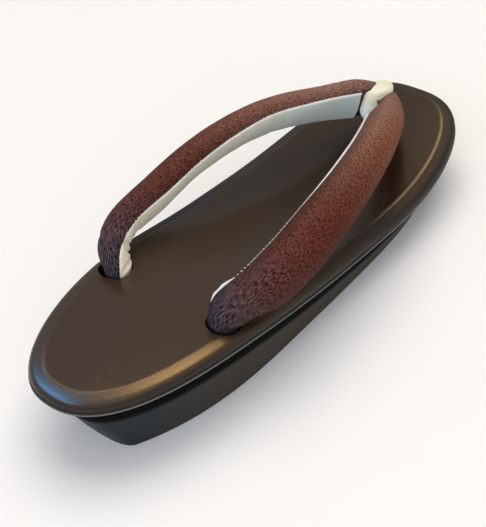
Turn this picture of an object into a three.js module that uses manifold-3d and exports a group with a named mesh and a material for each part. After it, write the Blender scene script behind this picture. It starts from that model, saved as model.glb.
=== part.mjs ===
// A zori sandal: a padded oval footbed on a wedge sole, and a stuffed strap whose two arms rise
// from holes beside the heel and meet over the toes in a loop.
// Millimetres, +Z up, +Y towards the toe, +X to the wearer's right. The origin is on the floor
// under the middle of the sandal. Inside this file, along is measured from the tip of the heel.
import * as THREE from 'three';
import { mergeVertices } from 'three/addons/utils/BufferGeometryUtils.js';
import Module from 'manifold-3d';

const wasm = await Module();
wasm.setup();

const LENGTH = 245;
const GAP = 0.35;

// Outlines: each end is a rounded curve, reach long, that is squarer as its power rises.
const HALF_WIDTH = 39.7;
const FOOTBED_ENDS = {
  heel: 0, heelReach: 95, heelPower: 2.3,
  toe: LENGTH, toeReach: 85, toePower: 2.75,
};
const TREAD_ENDS = {
  heel: 18, heelReach: 5, heelPower: 3,
  toe: 232, toeReach: 22, toePower: 2.2,
};
const OVAL_STEPS = 36;

// How far the tread stands in from the footbed's outline, from heel to toe.
const TREAD_TUCK = [
  { along: 18, tuck: 11.8 },
  { along: 55, tuck: 9 },
  { along: 110, tuck: 8 },
  { along: 165, tuck: 8.4 },
  { along: 232, tuck: 12.4 },
];

// Height of the footbed's underside from heel to toe.
const RIM = [
  { along: 0, height: 31.1 },
  { along: 61, height: 30.5 },
  { along: 122.5, height: 22.4 },
  { along: 184, height: 19.2 },
  { along: LENGTH, height: 28.3 },
];

// The footbed's rolled edge, from its underside to the crease where the flat top starts.
const EDGE = [
  { inset: 1.6, rise: 0 },
  { inset: 0.3, rise: 0.9 },
  { inset: 0, rise: 2.4 },
  { inset: 0.5, rise: 3.9 },
  { inset: 2.2, rise: 5.1 },
  { inset: 6.4, rise: 5.8 },
];

// The sole's wall runs straight from under the footbed to the tread, which lifts at the toe.
const SOLE_INSET = 3;
const TREAD_ROUND = 1.4;
const SPRING_START = 192;
const SPRING_RISE = 6;

// The right arm of the strap, from its end under the footbed to the toe. It is a band between two
// seams, each given as across, along and up. The cloth bulges out from the seams by cloth, and the
// lining towards the foot by lining.
const ARM = [
  { inner: [22.9, 61.9, 26.5], outer: [30.7, 71.1, 26.5], cloth: 7, lining: 4.5 },
  { inner: [22.9, 61.9, 32], outer: [30.7, 71.1, 31], cloth: 7, lining: 4.5 },
  { inner: [23, 62.2, 38], outer: [30.9, 71.3, 35], cloth: 7, lining: 4.4 },
  { inner: [24.3, 66.5, 47.5], outer: [33.6, 74, 36.9], cloth: 9, lining: 3.6 },
  { inner: [27, 80, 51.6], outer: [38.9, 83, 35.8], cloth: 10.2, lining: 3 },
  { inner: [26.8, 99, 53.5], outer: [39.6, 101, 36.5], cloth: 11, lining: 3 },
  { inner: [26, 118.5, 56.5], outer: [39.2, 121.5, 40.5], cloth: 10.5, lining: 3 },
  { inner: [24.2, 138.5, 58], outer: [36.4, 141.5, 43.2], cloth: 10.2, lining: 3.4 },
  { inner: [20.4, 159, 58.3], outer: [31.6, 161, 43.7], cloth: 9.8, lining: 3.6 },
  { inner: [13.6, 179, 55.6], outer: [24, 181, 41.2], cloth: 9.8, lining: 3.6 },
  { inner: [6.2, 197, 52.5], outer: [14.2, 199, 37.1], cloth: 9.4, lining: 3.4 },
  { inner: [-2.5, 210.4, 50.3], outer: [2.5, 211.6, 34.7], cloth: 8, lining: 3.2 },
];
const ARM_END = ARM[0].inner[2];
const ARM_STEPS = 55;
const ARM_SIDES = 13;
const LINING_SIDES = 7;
const LINING_STEPS = 51;

// The toe loop from its foot in the sole to its crown over the strap.
const LOOP = [
  { up: 11, half: 4.5, back: 199, front: 208 },
  { up: 26, half: 4.5, back: 199, front: 208 },
  { up: 34, half: 5, back: 197.5, front: 211 },
  { up: 42, half: 6, back: 196, front: 215 },
  { up: 47, half: 6.2, back: 197, front: 217 },
  { up: 50, half: 6, back: 200, front: 217 },
  { up: 52.4, half: 5, back: 204, front: 215.5 },
  { up: 53.4, half: 2.5, back: 207, front: 212.5 },
];
const LOOP_SIDES = 20;

// The strap and the loop go through holes in the footbed into pockets in the sole.
const HOLE_CLEARANCE = 0.9;
const POCKET_CLEARANCE = 0.4;
const HOLE_BOTTOM = 0;
const HOLE_TOP = 60;
const SIDES = [1, -1];

// A smooth curve through one column of a table, over its along column.
function smooth(table, column) {
  const places = Float32Array.from(table, (row) => row.along);
  const values = Float32Array.from(table, (row) => row[column]);
  const curve = new THREE.CubicInterpolant(places, values, 1);
  const last = places[places.length - 1];
  return (along) => curve.evaluate(THREE.MathUtils.clamp(along, places[0], last))[0];
}

const rimHeight = smooth(RIM, 'height');
const treadTuck = smooth(TREAD_TUCK, 'tuck');

function treadHeight(along) {
  const part = Math.max(0, along - SPRING_START) / (TREAD_ENDS.toe - SPRING_START);
  return SPRING_RISE * part * part;
}

// Share of the full width at a distance from the tip of an oval's end.
function ovalEnd(distance, reach, power) {
  const left = Math.max(0, 1 - distance / reach);
  return Math.pow(1 - Math.pow(left, power), 1 / power);
}

// Share of the full width along an outline with two rounded ends.
function endShare(ends, along) {
  const heel = ovalEnd(along - ends.heel, ends.heelReach, ends.heelPower);
  const toe = ovalEnd(ends.toe - along, ends.toeReach, ends.toePower);
  return heel * toe;
}

const footbedOutline = {
  ends: FOOTBED_ENDS,
  halfWidth: (along) => HALF_WIDTH * endShare(FOOTBED_ENDS, along),
};
const treadOutline = {
  ends: TREAD_ENDS,
  halfWidth: (along) => {
    const wide = footbedOutline.halfWidth(along) - treadTuck(along);
    return wide * endShare(TREAD_ENDS, along);
  },
};

// Right half of an outline from heel tip to toe tip, moved in by inset.
function halfOutline(outline, inset) {
  const points = [];
  for (let i = 0; i <= OVAL_STEPS; i += 1) {
    const share = (1 - Math.cos((Math.PI * i) / OVAL_STEPS)) / 2;
    const along = THREE.MathUtils.lerp(outline.ends.heel, outline.ends.toe, share);
    points.push(new THREE.Vector2(outline.halfWidth(along), along));
  }
  return points.map((point, i) => {
    if (i === 0) return new THREE.Vector2(0, point.y + inset);
    if (i === OVAL_STEPS) return new THREE.Vector2(0, point.y - inset);
    const run = points[i + 1].clone().sub(points[i - 1]).normalize();
    return new THREE.Vector2(point.x - inset * run.y, point.y + inset * run.x);
  });
}

// A whole ring of an outline, at the height that heightAt gives along its length.
function outlineRing(outline, inset, heightAt) {
  const right = halfOutline(outline, inset);
  const left = right.slice(1, -1).reverse();
  const lift = (point, side) => new THREE.Vector3(side * point.x, point.y, heightAt(point.y));
  return [...right.map((point) => lift(point, 1)), ...left.map((point) => lift(point, -1))];
}

// A closed skin over rings of an even number of points, each anticlockwise seen from the last.
// Two twisted skins that face each other crease alike when one of them is crossed.
function loft(rings, crossed = false) {
  const count = rings[0].length;
  const corners = rings.flat().flatMap((point) => point.toArray());
  const faces = [];
  for (let k = 0; k + 1 < rings.length; k += 1) {
    for (let i = 0; i < count; i += 1) {
      const a = k * count + i;
      const b = k * count + ((i + 1) % count);
      if (crossed) faces.push(a, b, a + count, b, b + count, a + count);
      else faces.push(a, b, b + count, a, b + count, a + count);
    }
  }
  const last = (rings.length - 1) * count;
  for (let i = 1; i < count - i + 1; i += 1) {
    const near = count - i + 1;
    const far = count - i;
    const strip = [[i - 1, i, far]];
    if (near < count) strip.push([i - 1, far, near]);
    for (const [a, b, c] of strip) {
      if (b === c) continue;
      faces.push(last + a, last + b, last + c);
      faces.push(a, c, b);
    }
  }
  const geometry = new THREE.BufferGeometry();
  geometry.setAttribute('position', new THREE.Float32BufferAttribute(corners, 3));
  geometry.setIndex(faces);
  return geometry;
}

function solid(geometry) {
  const merged = mergeVertices(geometry);
  return new wasm.Manifold(new wasm.Mesh({
    numProp: 3,
    vertProperties: Float32Array.from(merged.attributes.position.array),
    triVerts: Uint32Array.from(merged.index.array),
  }));
}

function geometryOf(manifold) {
  const mesh = manifold.getMesh();
  const geometry = new THREE.BufferGeometry();
  geometry.setAttribute('position', new THREE.BufferAttribute(mesh.vertProperties, 3));
  geometry.setIndex(new THREE.BufferAttribute(mesh.triVerts, 1));
  return geometry;
}

function armCurve(pointOf) {
  return new THREE.CatmullRomCurve3(ARM.map(pointOf), false, 'catmullrom');
}

const innerSeam = armCurve((row) => new THREE.Vector3(...row.inner));
const outerSeam = armCurve((row) => new THREE.Vector3(...row.outer));
const armBulge = armCurve((row) => new THREE.Vector3(row.cloth, row.lining, 0));

// Place, size and directions of the right arm's section at t, from 0 at its end to 1 at the toe.
function armFrame(t) {
  const inner = innerSeam.getPoint(t);
  const outer = outerSeam.getPoint(t);
  const middle = inner.clone().add(outer).divideScalar(2);
  const width = inner.distanceTo(outer);
  const up = inner.sub(outer).divideScalar(width);
  const forward = innerSeam.getTangent(t).add(outerSeam.getTangent(t));
  const out = forward.cross(up).normalize();
  const bulge = armBulge.getPoint(t);
  return { middle, up, out, width, cloth: bulge.x, lining: bulge.y };
}

function place(frame, up, out, side) {
  const point = frame.middle.clone();
  point.addScaledVector(frame.up, up).addScaledVector(frame.out, out);
  point.x *= side;
  return point;
}

// Half of a rounded band: its flat side stands at base, and it bulges out from there.
function bandRing(frame, half, base, bulge, sides, side) {
  const ring = [];
  for (let i = 0; i <= sides; i += 1) {
    const angle = (Math.PI * i) / sides;
    ring.push(place(frame, half * Math.cos(angle), base + bulge * Math.sin(angle), side));
  }
  return side * bulge > 0 ? ring : ring.reverse();
}

function armRings(steps, ringAt) {
  const rings = [];
  for (let i = 0; i <= steps; i += 1) rings.push(ringAt(armFrame(i / ARM_STEPS)));
  return rings;
}

function clothArm(side, grow) {
  const rings = armRings(ARM_STEPS, (frame) => {
    const half = frame.width / 2 + grow;
    return bandRing(frame, half, -grow, frame.cloth + 2 * grow, ARM_SIDES, side);
  });
  return solid(loft(rings));
}

function liningArm(side, grow) {
  const rings = armRings(LINING_STEPS, (frame) => {
    const half = frame.width / 2 - GAP + grow;
    return bandRing(frame, half, grow - GAP, -(frame.lining + 2 * grow), LINING_SIDES, side);
  });
  return solid(loft(rings, true));
}

// An upright plug of the outline of an arm's end, grown by clearance.
function armPlug(side, clearance, bottom, top) {
  const frame = armFrame(0);
  const rings = [bottom, top].map((height) => {
    const ring = [];
    const sides = 2 * ARM_SIDES - 2;
    for (let i = 0; i < sides; i += 1) {
      const angle = (2 * Math.PI * i) / sides;
      const bulge = Math.sin(angle) > 0 ? frame.cloth : frame.lining + GAP;
      const half = frame.width / 2 + clearance;
      const point = place(frame, half * Math.cos(angle), (bulge + clearance) * Math.sin(angle), side);
      ring.push(point.setZ(height));
    }
    return side > 0 ? ring : ring.reverse();
  });
  return solid(loft(rings));
}

function loopRing(row, grow) {
  const ring = [];
  const middle = (row.back + row.front) / 2;
  const reach = (row.front - row.back) / 2 + grow;
  for (let i = 0; i < LOOP_SIDES; i += 1) {
    const angle = (2 * Math.PI * i) / LOOP_SIDES;
    const across = (row.half + grow) * Math.sin(angle);
    ring.push(new THREE.Vector3(across, middle - reach * Math.cos(angle), row.up));
  }
  return ring;
}

function loopPlug(clearance, bottom, top) {
  const foot = LOOP[0];
  return solid(loft([bottom, top].map((up) => loopRing({ ...foot, up }, clearance))));
}

function footbedSolid() {
  const rings = EDGE.map((row) => outlineRing(
    footbedOutline, row.inset, (along) => rimHeight(along) + row.rise,
  ));
  let body = solid(loft(rings)).subtract(loopPlug(HOLE_CLEARANCE, HOLE_BOTTOM, HOLE_TOP));
  for (const side of SIDES) {
    body = body.subtract(armPlug(side, HOLE_CLEARANCE, HOLE_BOTTOM, HOLE_TOP));
  }
  return body;
}

function soleSolid() {
  const rings = [
    outlineRing(treadOutline, TREAD_ROUND, treadHeight),
    outlineRing(treadOutline, TREAD_ROUND / 3, (along) => treadHeight(along) + TREAD_ROUND / 3),
    outlineRing(treadOutline, 0, (along) => treadHeight(along) + TREAD_ROUND),
    outlineRing(footbedOutline, SOLE_INSET, (along) => rimHeight(along) - GAP),
  ];
  const loopFloor = LOOP[0].up - GAP;
  let body = solid(loft(rings)).subtract(loopPlug(POCKET_CLEARANCE, loopFloor, HOLE_TOP));
  for (const side of SIDES) {
    body = body.subtract(armPlug(side, POCKET_CLEARANCE, ARM_END - GAP, HOLE_TOP));
  }
  return body;
}

function strapSolid() {
  return clothArm(1, 0).add(clothArm(-1, 0));
}

function loopSolid() {
  let body = solid(loft(LOOP.map((row) => loopRing(row, 0))));
  for (const side of SIDES) {
    body = body.subtract(clothArm(side, GAP)).subtract(liningArm(side, GAP));
  }
  return body;
}

const COLOURS = {
  sole: { color: 0x1b1a1c, roughness: 0.55 },
  leather: { color: 0x4a3a30, roughness: 0.42 },
  cloth: { color: 0x5c3436, roughness: 0.75 },
  cotton: { color: 0xe6e2cf, roughness: 0.8 },
  velvet: { color: 0xf2ead0, roughness: 0.9 },
};

const sandal = new THREE.Group();
sandal.position.y = -LENGTH / 2;

function addPiece(name, manifold, look) {
  const material = new THREE.MeshStandardMaterial({ ...COLOURS[look], metalness: 0 });
  const mesh = new THREE.Mesh(geometryOf(manifold), material);
  mesh.name = name;
  sandal.add(mesh);
}

addPiece('sole', soleSolid(), 'sole');
addPiece('footbed', footbedSolid(), 'leather');
addPiece('strap', strapSolid(), 'cloth');
addPiece('strap_lining_right', liningArm(1, 0), 'cotton');
addPiece('strap_lining_left', liningArm(-1, 0), 'cotton');
addPiece('toe_loop', loopSolid(), 'velvet');

export default sandal;
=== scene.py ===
# A zori sandal in metres, in the frame of its solids: +Z up, +Y to the toe, floor at zero.
# Sizes in the tables are millimetres, and along is measured from the tip of the heel.
import math
import bpy
import numpy as np
from mathutils import Matrix, Vector, noise


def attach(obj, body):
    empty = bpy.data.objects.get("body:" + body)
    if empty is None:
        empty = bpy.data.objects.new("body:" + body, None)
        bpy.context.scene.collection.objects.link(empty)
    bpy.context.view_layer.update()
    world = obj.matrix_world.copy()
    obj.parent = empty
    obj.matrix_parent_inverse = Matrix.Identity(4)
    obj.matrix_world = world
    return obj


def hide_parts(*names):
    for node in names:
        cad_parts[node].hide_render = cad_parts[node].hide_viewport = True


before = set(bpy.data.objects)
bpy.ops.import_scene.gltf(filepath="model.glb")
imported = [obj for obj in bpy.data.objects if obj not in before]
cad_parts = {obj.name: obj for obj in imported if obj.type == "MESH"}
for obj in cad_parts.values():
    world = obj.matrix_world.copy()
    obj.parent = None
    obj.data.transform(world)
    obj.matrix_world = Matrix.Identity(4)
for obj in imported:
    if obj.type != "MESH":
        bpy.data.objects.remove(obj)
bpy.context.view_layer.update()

# Sole: a wedge of light foam, high at the heel and thin under the toes, wrapped in a smooth dark
# sheet whose walls lean in to the floor. A thin rubber sheet is glued on as the tread, and pockets
# in the top take the ends of the strap and of the toe loop.
MM = 0.001
LENGTH = 245
GAP = 0.35
STATIONS = 150
HALF_WIDTH = 39.7
HEEL_END = (95, 2.3)
TOE_END = (85, 2.75)
RIM = [(0, 31.1), (61, 30.5), (122.5, 22.4), (184, 19.2), (245, 28.3)]
TREAD_TUCK = [(18, 11.8), (55, 9), (110, 8), (165, 8.4), (232, 12.4)]
TREAD_HEEL = 18
TREAD_TOE = 232
TREAD_HEEL_END = (5, 3)
TREAD_TOE_END = (22, 2.2)
TREAD_ROUND = 1.4
WALL_RINGS = 24
WALL_TOP = 0.985
SPRING_START = 192
SPRING_RISE = 6
SOLE_INSET = 3
# Depths below the rim where the painted shadow under the overhang is full, and where it ends.
RIM_SHADOW_FULL = 9
RIM_SHADOW_END = 11


def smooth(table, along):
    """Cubic curve through a table's rows, with straight ends."""
    place = np.array([row[0] for row in table], float)
    value = np.array([row[1] for row in table], float)
    along = np.clip(np.asarray(along, float), place[0], place[-1])
    low = np.clip(np.searchsorted(place, along, side="right") - 1, 0, len(place) - 2)
    high = low + 1
    span = place[high] - place[low]
    before = np.where(low > 0, low - 1, high)
    after = np.where(high < len(place) - 1, np.minimum(high + 1, len(place) - 1), low)
    w_before = span / 2 / (place[low] - place[before])
    w_after = span / 2 / (place[after] - place[high])
    p = (along - place[low]) / span
    share_before = -w_before * p ** 3 + 2 * w_before * p ** 2 - w_before * p
    share_low = (1 + w_before) * p ** 3 + (-1.5 - 2 * w_before) * p ** 2 + (w_before - 0.5) * p + 1
    share_high = (-1 - w_after) * p ** 3 + (1.5 + w_after) * p ** 2 + 0.5 * p
    share_after = w_after * p ** 3 - w_after * p ** 2
    near = share_low * value[low] + share_high * value[high]
    return near + share_before * value[before] + share_after * value[after]


def ramp(value, start, end):
    """Share of the way from start to end, held at 0 before it and at 1 after it."""
    return np.clip((value - start) / (end - start), 0, 1)


def oval_end(distance, reach, power):
    """Share of the full width at a distance from the tip of a rounded end."""
    left = np.clip(1 - distance / reach, 0, None)
    return np.clip(1 - left ** power, 0, None) ** (1 / power)


def footbed_half(along):
    return HALF_WIDTH * oval_end(along, *HEEL_END) * oval_end(LENGTH - along, *TOE_END)


def tread_half(along):
    wide = footbed_half(along) - smooth(TREAD_TUCK, along)
    wide = wide * oval_end(along - TREAD_HEEL, *TREAD_HEEL_END)
    return wide * oval_end(TREAD_TOE - along, *TREAD_TOE_END)


def rim_height(along):
    return smooth(RIM, along)


def tread_height(along):
    return SPRING_RISE * (np.clip(along - SPRING_START, 0, None) / (TREAD_TOE - SPRING_START)) ** 2


def outline_ring(half_width, heel, toe, inset, height_at):
    """Closed ring of an outline moved in by inset: right side to the toe, left side back."""
    share = (1 - np.cos(np.pi * np.arange(STATIONS + 1) / STATIONS)) / 2
    along = heel + (toe - heel) * share
    across = half_width(along)
    run = np.stack([across[2:] - across[:-2], along[2:] - along[:-2]])
    run /= np.linalg.norm(run, axis=0)
    across[1:-1] -= inset * run[1]
    along[1:-1] += inset * run[0]
    across[0] = across[-1] = 0
    along[0] += inset
    along[-1] -= inset
    right = np.stack([across, along, height_at(along)], 1)
    left = right[-2:0:-1] * (-1, 1, 1)
    return np.concatenate([right, left])


def oval_skin(name, rings, columns_below, columns_above):
    """Closed mesh over rings of one outline, capped by a grid across the first and last ring."""
    count = len(rings[0])
    points = [np.concatenate(rings)]
    faces = []
    for k in range(len(rings) - 1):
        for i in range(count):
            a = k * count + i
            b = k * count + (i + 1) % count
            faces.append((a, b, b + count, a + count))
    made = len(rings) * count
    caps = []
    for first, columns, turned in ((0, columns_below, True), (made - count, columns_above, False)):
        ring = rings[0] if turned else rings[-1]
        rows = [[first] * (columns + 1)]
        for i in range(1, STATIONS):
            shares = np.arange(1, columns)[:, None] / columns
            right, left = ring[i], ring[count - i]
            points.append(right + (left - right) * shares)
            inner = list(range(made, made + columns - 1))
            made += columns - 1
            rows.append([first + i] + inner + [first + count - i])
        rows.append([first + STATIONS] * (columns + 1))
        start = len(faces)
        for near, far in zip(rows, rows[1:]):
            for k in range(columns):
                corners = [near[k], far[k], far[k + 1], near[k + 1]]
                corners = list(dict.fromkeys(corners))
                faces.append(corners[::-1] if turned else corners)
        caps.append((start, len(faces)))
    mesh = bpy.data.meshes.new(name)
    spots = (np.concatenate(points) - (0, LENGTH / 2, 0)) * MM
    mesh.from_pydata(spots.tolist(), [], faces)
    mesh.shade_smooth()
    piece = bpy.data.objects.new(name, mesh)
    bpy.context.scene.collection.objects.link(piece)
    return piece, caps


def linear(colour):
    """An sRGB hex colour as linear RGBA."""
    parts = [int(colour[i:i + 2], 16) / 255 for i in (1, 3, 5)]
    return [p / 12.92 if p <= 0.04045 else ((p + 0.055) / 1.055) ** 2.4 for p in parts] + [1.0]


def add_node(tree, kind, settings, inputs):
    """Add a node, set its properties, and set or link each named input."""
    made = tree.nodes.new(kind)
    for name, value in settings.items():
        setattr(made, name, value)
    for name, value in inputs.items():
        if isinstance(value, bpy.types.NodeSocket):
            tree.links.new(value, made.inputs[name])
        else:
            made.inputs[name].default_value = value
    return made


def new_material(name):
    """A material with an empty node tree."""
    material = bpy.data.materials.new(name)
    material.use_nodes = True
    material.node_tree.nodes.clear()
    return material, material.node_tree


# Smooth coated sheet, pressed and glued round the foam: satin and faintly mottled. Painted light makes
# it blue black at the heel and a warmer olive black along the sides. A black band of painted shadow
# runs under the rim, where the rim overhangs the wall, and the sheet is dull there.
sole_sheet, tree = new_material("coated_sheet_black")
coords = add_node(tree, "ShaderNodeTexCoord", {}, {})
cloudy = add_node(tree, "ShaderNodeTexNoise", {}, {
    "Vector": coords.outputs["Object"], "Scale": 1 / (18 * MM), "Detail": 3.0})
places = add_node(tree, "ShaderNodeSeparateXYZ", {}, {"Vector": coords.outputs["Object"]})
# Painted light: cool blue black at the heel, warmer olive black along the sides.
sideward = add_node(tree, "ShaderNodeMapRange", {"interpolation_type": "SMOOTHSTEP"}, {
    "Value": places.outputs["Y"], "From Min": -112 * MM, "From Max": -60 * MM})
heel_cool_light_tone = add_node(tree, "ShaderNodeMix", {"data_type": "RGBA"}, {
    0: cloudy.outputs["Fac"], 6: linear("#1a2227"), 7: linear("#202a30")})
side_warm_light_tone = add_node(tree, "ShaderNodeMix", {"data_type": "RGBA"}, {
    0: cloudy.outputs["Fac"], 6: linear("#2d2922"), 7: linear("#353028")})
tone = add_node(tree, "ShaderNodeMix", {"data_type": "RGBA"}, {
    0: sideward.outputs["Result"], 6: heel_cool_light_tone.outputs[2], 7: side_warm_light_tone.outputs[2]})
satin = add_node(tree, "ShaderNodeMapRange", {}, {
    "Value": cloudy.outputs["Fac"], "To Min": 0.4, "To Max": 0.52})
pores = add_node(tree, "ShaderNodeTexNoise", {}, {
    "Vector": coords.outputs["Object"], "Scale": 1 / (0.8 * MM), "Detail": 2.0})
relief = add_node(tree, "ShaderNodeBump", {}, {
    "Height": pores.outputs["Fac"], "Strength": 0.12, "Distance": 0.1 * MM})
# Painted shadow: the top of the wall under the overhanging rim is mixed to black and made dull.
rim_shadow_paint = add_node(tree, "ShaderNodeAttribute", {"attribute_name": "rim_shadow_paint"}, {})
rim_shadow_tone = add_node(tree, "ShaderNodeMix", {"data_type": "RGBA"}, {
    0: rim_shadow_paint.outputs["Fac"], 6: tone.outputs[2], 7: linear("#020202")})
dull = add_node(tree, "ShaderNodeMix", {"data_type": "FLOAT"}, {
    0: rim_shadow_paint.outputs["Fac"], 2: satin.outputs["Result"], 3: 0.95})
surface = add_node(tree, "ShaderNodeBsdfPrincipled", {}, {
    "Base Color": rim_shadow_tone.outputs[2], "Roughness": dull.outputs[0],
    "Normal": relief.outputs["Normal"], "Specular IOR Level": 0.1})
add_node(tree, "ShaderNodeOutputMaterial", {}, {"Surface": surface.outputs["BSDF"]})

# Moulded rubber tread, matt black and dusty, with fine ripples across it. A wave texture of scale 1
# has 3.1831 bands in each unit of length.
RIPPLE = 2.4
WAVE_BANDS = 3.1831
tread_rubber, tree = new_material("moulded_rubber_black")
coords = add_node(tree, "ShaderNodeTexCoord", {}, {})
ripple = add_node(tree, "ShaderNodeTexWave", {"bands_direction": "Y"}, {
    "Vector": coords.outputs["Object"], "Scale": 1 / (RIPPLE * MM) / WAVE_BANDS, "Distortion": 0.0})
dust = add_node(tree, "ShaderNodeTexNoise", {}, {
    "Vector": coords.outputs["Object"], "Scale": 1 / (9 * MM), "Detail": 4.0})
tone = add_node(tree, "ShaderNodeMix", {"data_type": "RGBA"}, {
    0: dust.outputs["Fac"], 6: linear("#191919"), 7: linear("#2b2a28")})
relief = add_node(tree, "ShaderNodeBump", {}, {
    "Height": ripple.outputs["Fac"], "Strength": 0.8, "Distance": 0.5 * MM})
surface = add_node(tree, "ShaderNodeBsdfPrincipled", {}, {
    "Base Color": tone.outputs[2], "Roughness": 0.75, "Normal": relief.outputs["Normal"]})
add_node(tree, "ShaderNodeOutputMaterial", {}, {"Surface": surface.outputs["BSDF"]})

rings = []
for turn in np.linspace(0, np.pi / 2, 6):
    inset = TREAD_ROUND * (1 - math.sin(turn))
    rise = TREAD_ROUND * (1 - math.cos(turn))
    rings.append(outline_ring(tread_half, TREAD_HEEL, TREAD_TOE, inset,
                              lambda along: tread_height(along) + rise))
foot_of_wall = rings[-1]
head_of_wall = outline_ring(footbed_half, 0, LENGTH, SOLE_INSET,
                            lambda along: rim_height(along) - GAP)
for share in np.linspace(0, WALL_TOP, WALL_RINGS)[1:]:
    rings.append(foot_of_wall + (head_of_wall - foot_of_wall) * share)
for inward, drop in ((0.15, 0.1), (0.4, 0), (3, 0)):
    rings.append(outline_ring(footbed_half, 0, LENGTH, SOLE_INSET + inward,
                              lambda along: rim_height(along) - GAP - drop))
sole, caps = oval_skin("sole_wedge", rings, 12, 6)
spots = np.empty(len(sole.data.vertices) * 3)
sole.data.vertices.foreach_get("co", spots)
spots = spots.reshape(-1, 3) / MM
# Mark the top of the wall, under the rim, for the painted shadow.
below_rim = rim_height(spots[:, 1] + LENGTH / 2) - spots[:, 2]
sole.data.attributes.new("rim_shadow_paint", "FLOAT", "POINT").data.foreach_set(
    "value", ramp(below_rim, RIM_SHADOW_END, RIM_SHADOW_FULL))
sole.data.materials.append(sole_sheet)
sole.data.materials.append(tread_rubber)
for face in sole.data.polygons[caps[0][0]:caps[0][1]]:
    face.material_index = 1

# Each row of an arm gives the inner seam and the outer seam as across, along and up, then how far
# cloth and lining bulge. A row of the loop gives its height, half width, back and front.
POCKET_CLEARANCE = 0.4
ARM = np.array([
    (22.9, 61.9, 26.5, 30.7, 71.1, 26.5, 7, 4.5),
    (22.9, 61.9, 32, 30.7, 71.1, 31, 7, 4.5),
    (23, 62.2, 38, 30.9, 71.3, 35, 7, 4.4),
    (24.3, 66.5, 47.5, 33.6, 74, 36.9, 9, 3.6),
    (27, 80, 51.6, 38.9, 83, 35.8, 10.2, 3),
    (26.8, 99, 53.5, 39.6, 101, 36.5, 11, 3),
    (26, 118.5, 56.5, 39.2, 121.5, 40.5, 10.5, 3),
    (24.2, 138.5, 58, 36.4, 141.5, 43.2, 10.2, 3.4),
    (20.4, 159, 58.3, 31.6, 161, 43.7, 9.8, 3.6),
    (13.6, 179, 55.6, 24, 181, 41.2, 9.8, 3.6),
    (6.2, 197, 52.5, 14.2, 199, 37.1, 9.4, 3.4),
    (-2.5, 210.4, 50.3, 2.5, 211.6, 34.7, 8, 3.2),
])
LOOP = np.array([
    (11, 4.5, 199, 208), (26, 4.2, 199.2, 208), (34, 3.9, 200.3, 209), (38, 4.3, 200.6, 211.5),
    (42, 5.9, 198.8, 215), (47, 5.4, 200.4, 218.3), (50, 5.2, 201.8, 218.2), (51.8, 4.4, 203.2, 214.5),
    (52.5, 2.6, 205, 210.5),
])


def through_rows(rows, t):
    """Smooth curve through a table's rows, all columns at once, for t from 0 to 1."""
    last = len(rows) - 1
    whole = np.concatenate([[2 * rows[0] - rows[1]], rows, [2 * rows[-1] - rows[-2]]])
    place = np.clip(np.atleast_1d(t), 0, 1) * last
    low = np.minimum(place.astype(int), last - 1)
    p = (place - low)[:, None]
    before, start, end, after = (whole[low + k] for k in range(4))
    leave = (end - before) / 2
    arrive = (after - start) / 2
    cubic = 2 * start - 2 * end + leave + arrive
    square = -3 * start + 3 * end - 2 * leave - arrive
    return cubic * p ** 3 + square * p ** 2 + leave * p + start


def arm_frame(t):
    """Middle, up, out, width and bulges of the right arm's section at each t."""
    here = through_rows(ARM, t)
    step = through_rows(ARM, np.clip(t + 1e-4, 0, 1)) - through_rows(ARM, np.clip(t - 1e-4, 0, 1))
    inner, outer = here[:, 0:3], here[:, 3:6]
    width = np.linalg.norm(inner - outer, axis=1, keepdims=True)
    up = (inner - outer) / width
    forward = step[:, 0:3] / np.linalg.norm(step[:, 0:3], axis=1, keepdims=True)
    forward = forward + step[:, 3:6] / np.linalg.norm(step[:, 3:6], axis=1, keepdims=True)
    out = np.cross(forward, up)
    out /= np.linalg.norm(out, axis=1, keepdims=True)
    return (inner + outer) / 2, up, out, width, here[:, 6:7], here[:, 7:8]


def post_outline(side, clearance, steps=48):
    """Egg outline of an arm's end, seen from above, grown by clearance."""
    middle, up, out, width, cloth, lining = arm_frame(np.zeros(1))
    angle = np.linspace(0, 2 * np.pi, steps, endpoint=False)[:, None]
    bulge = np.where(np.sin(angle) > 0, cloth, lining + GAP) + clearance
    ring = middle + up * (width / 2 + clearance) * np.cos(angle) + out * bulge * np.sin(angle)
    return (ring * (side, 1, 1))[::side]


def loop_outline(row, grow, steps=48):
    """Oval outline of the toe loop at a row of its table."""
    angle = np.linspace(0, 2 * np.pi, steps, endpoint=False)
    reach = (row[3] - row[2]) / 2 + grow
    across = (row[1] + grow) * np.sin(angle)
    along = (row[2] + row[3]) / 2 - reach * np.cos(angle)
    return np.stack([across, along, np.full(steps, row[0])], 1)


def plug(ring, bottom, top):
    """An upright cutter over a ring."""
    count = len(ring)
    low, high = ring.copy(), ring.copy()
    low[:, 2], high[:, 2] = bottom, top
    spots = (np.concatenate([low, high]) - (0, LENGTH / 2, 0)) * MM
    sides = [(i, (i + 1) % count, (i + 1) % count + count, i + count) for i in range(count)]
    ends = [tuple(range(count))[::-1], tuple(range(count, 2 * count))]
    mesh = bpy.data.meshes.new("cutter")
    mesh.from_pydata(spots.tolist(), [], sides + ends)
    cutter = bpy.data.objects.new("cutter", mesh)
    bpy.context.scene.collection.objects.link(cutter)
    return cutter


def cut_away(piece, cutters):
    """Cut the cutters out of a piece and keep the result as its plain mesh."""
    for cutter in cutters:
        modifier = piece.modifiers.new("cut", "BOOLEAN")
        modifier.operation = "DIFFERENCE"
        modifier.solver = "EXACT"
        modifier.object = cutter
    graph = bpy.context.evaluated_depsgraph_get()
    whole = bpy.data.meshes.new_from_object(piece.evaluated_get(graph))
    piece.modifiers.clear()
    old, piece.data = piece.data, whole
    bpy.data.meshes.remove(old)
    for cutter in cutters:
        bpy.data.objects.remove(cutter)
    piece.data.shade_smooth()
    piece.data.set_sharp_from_angle(angle=math.radians(40))


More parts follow.
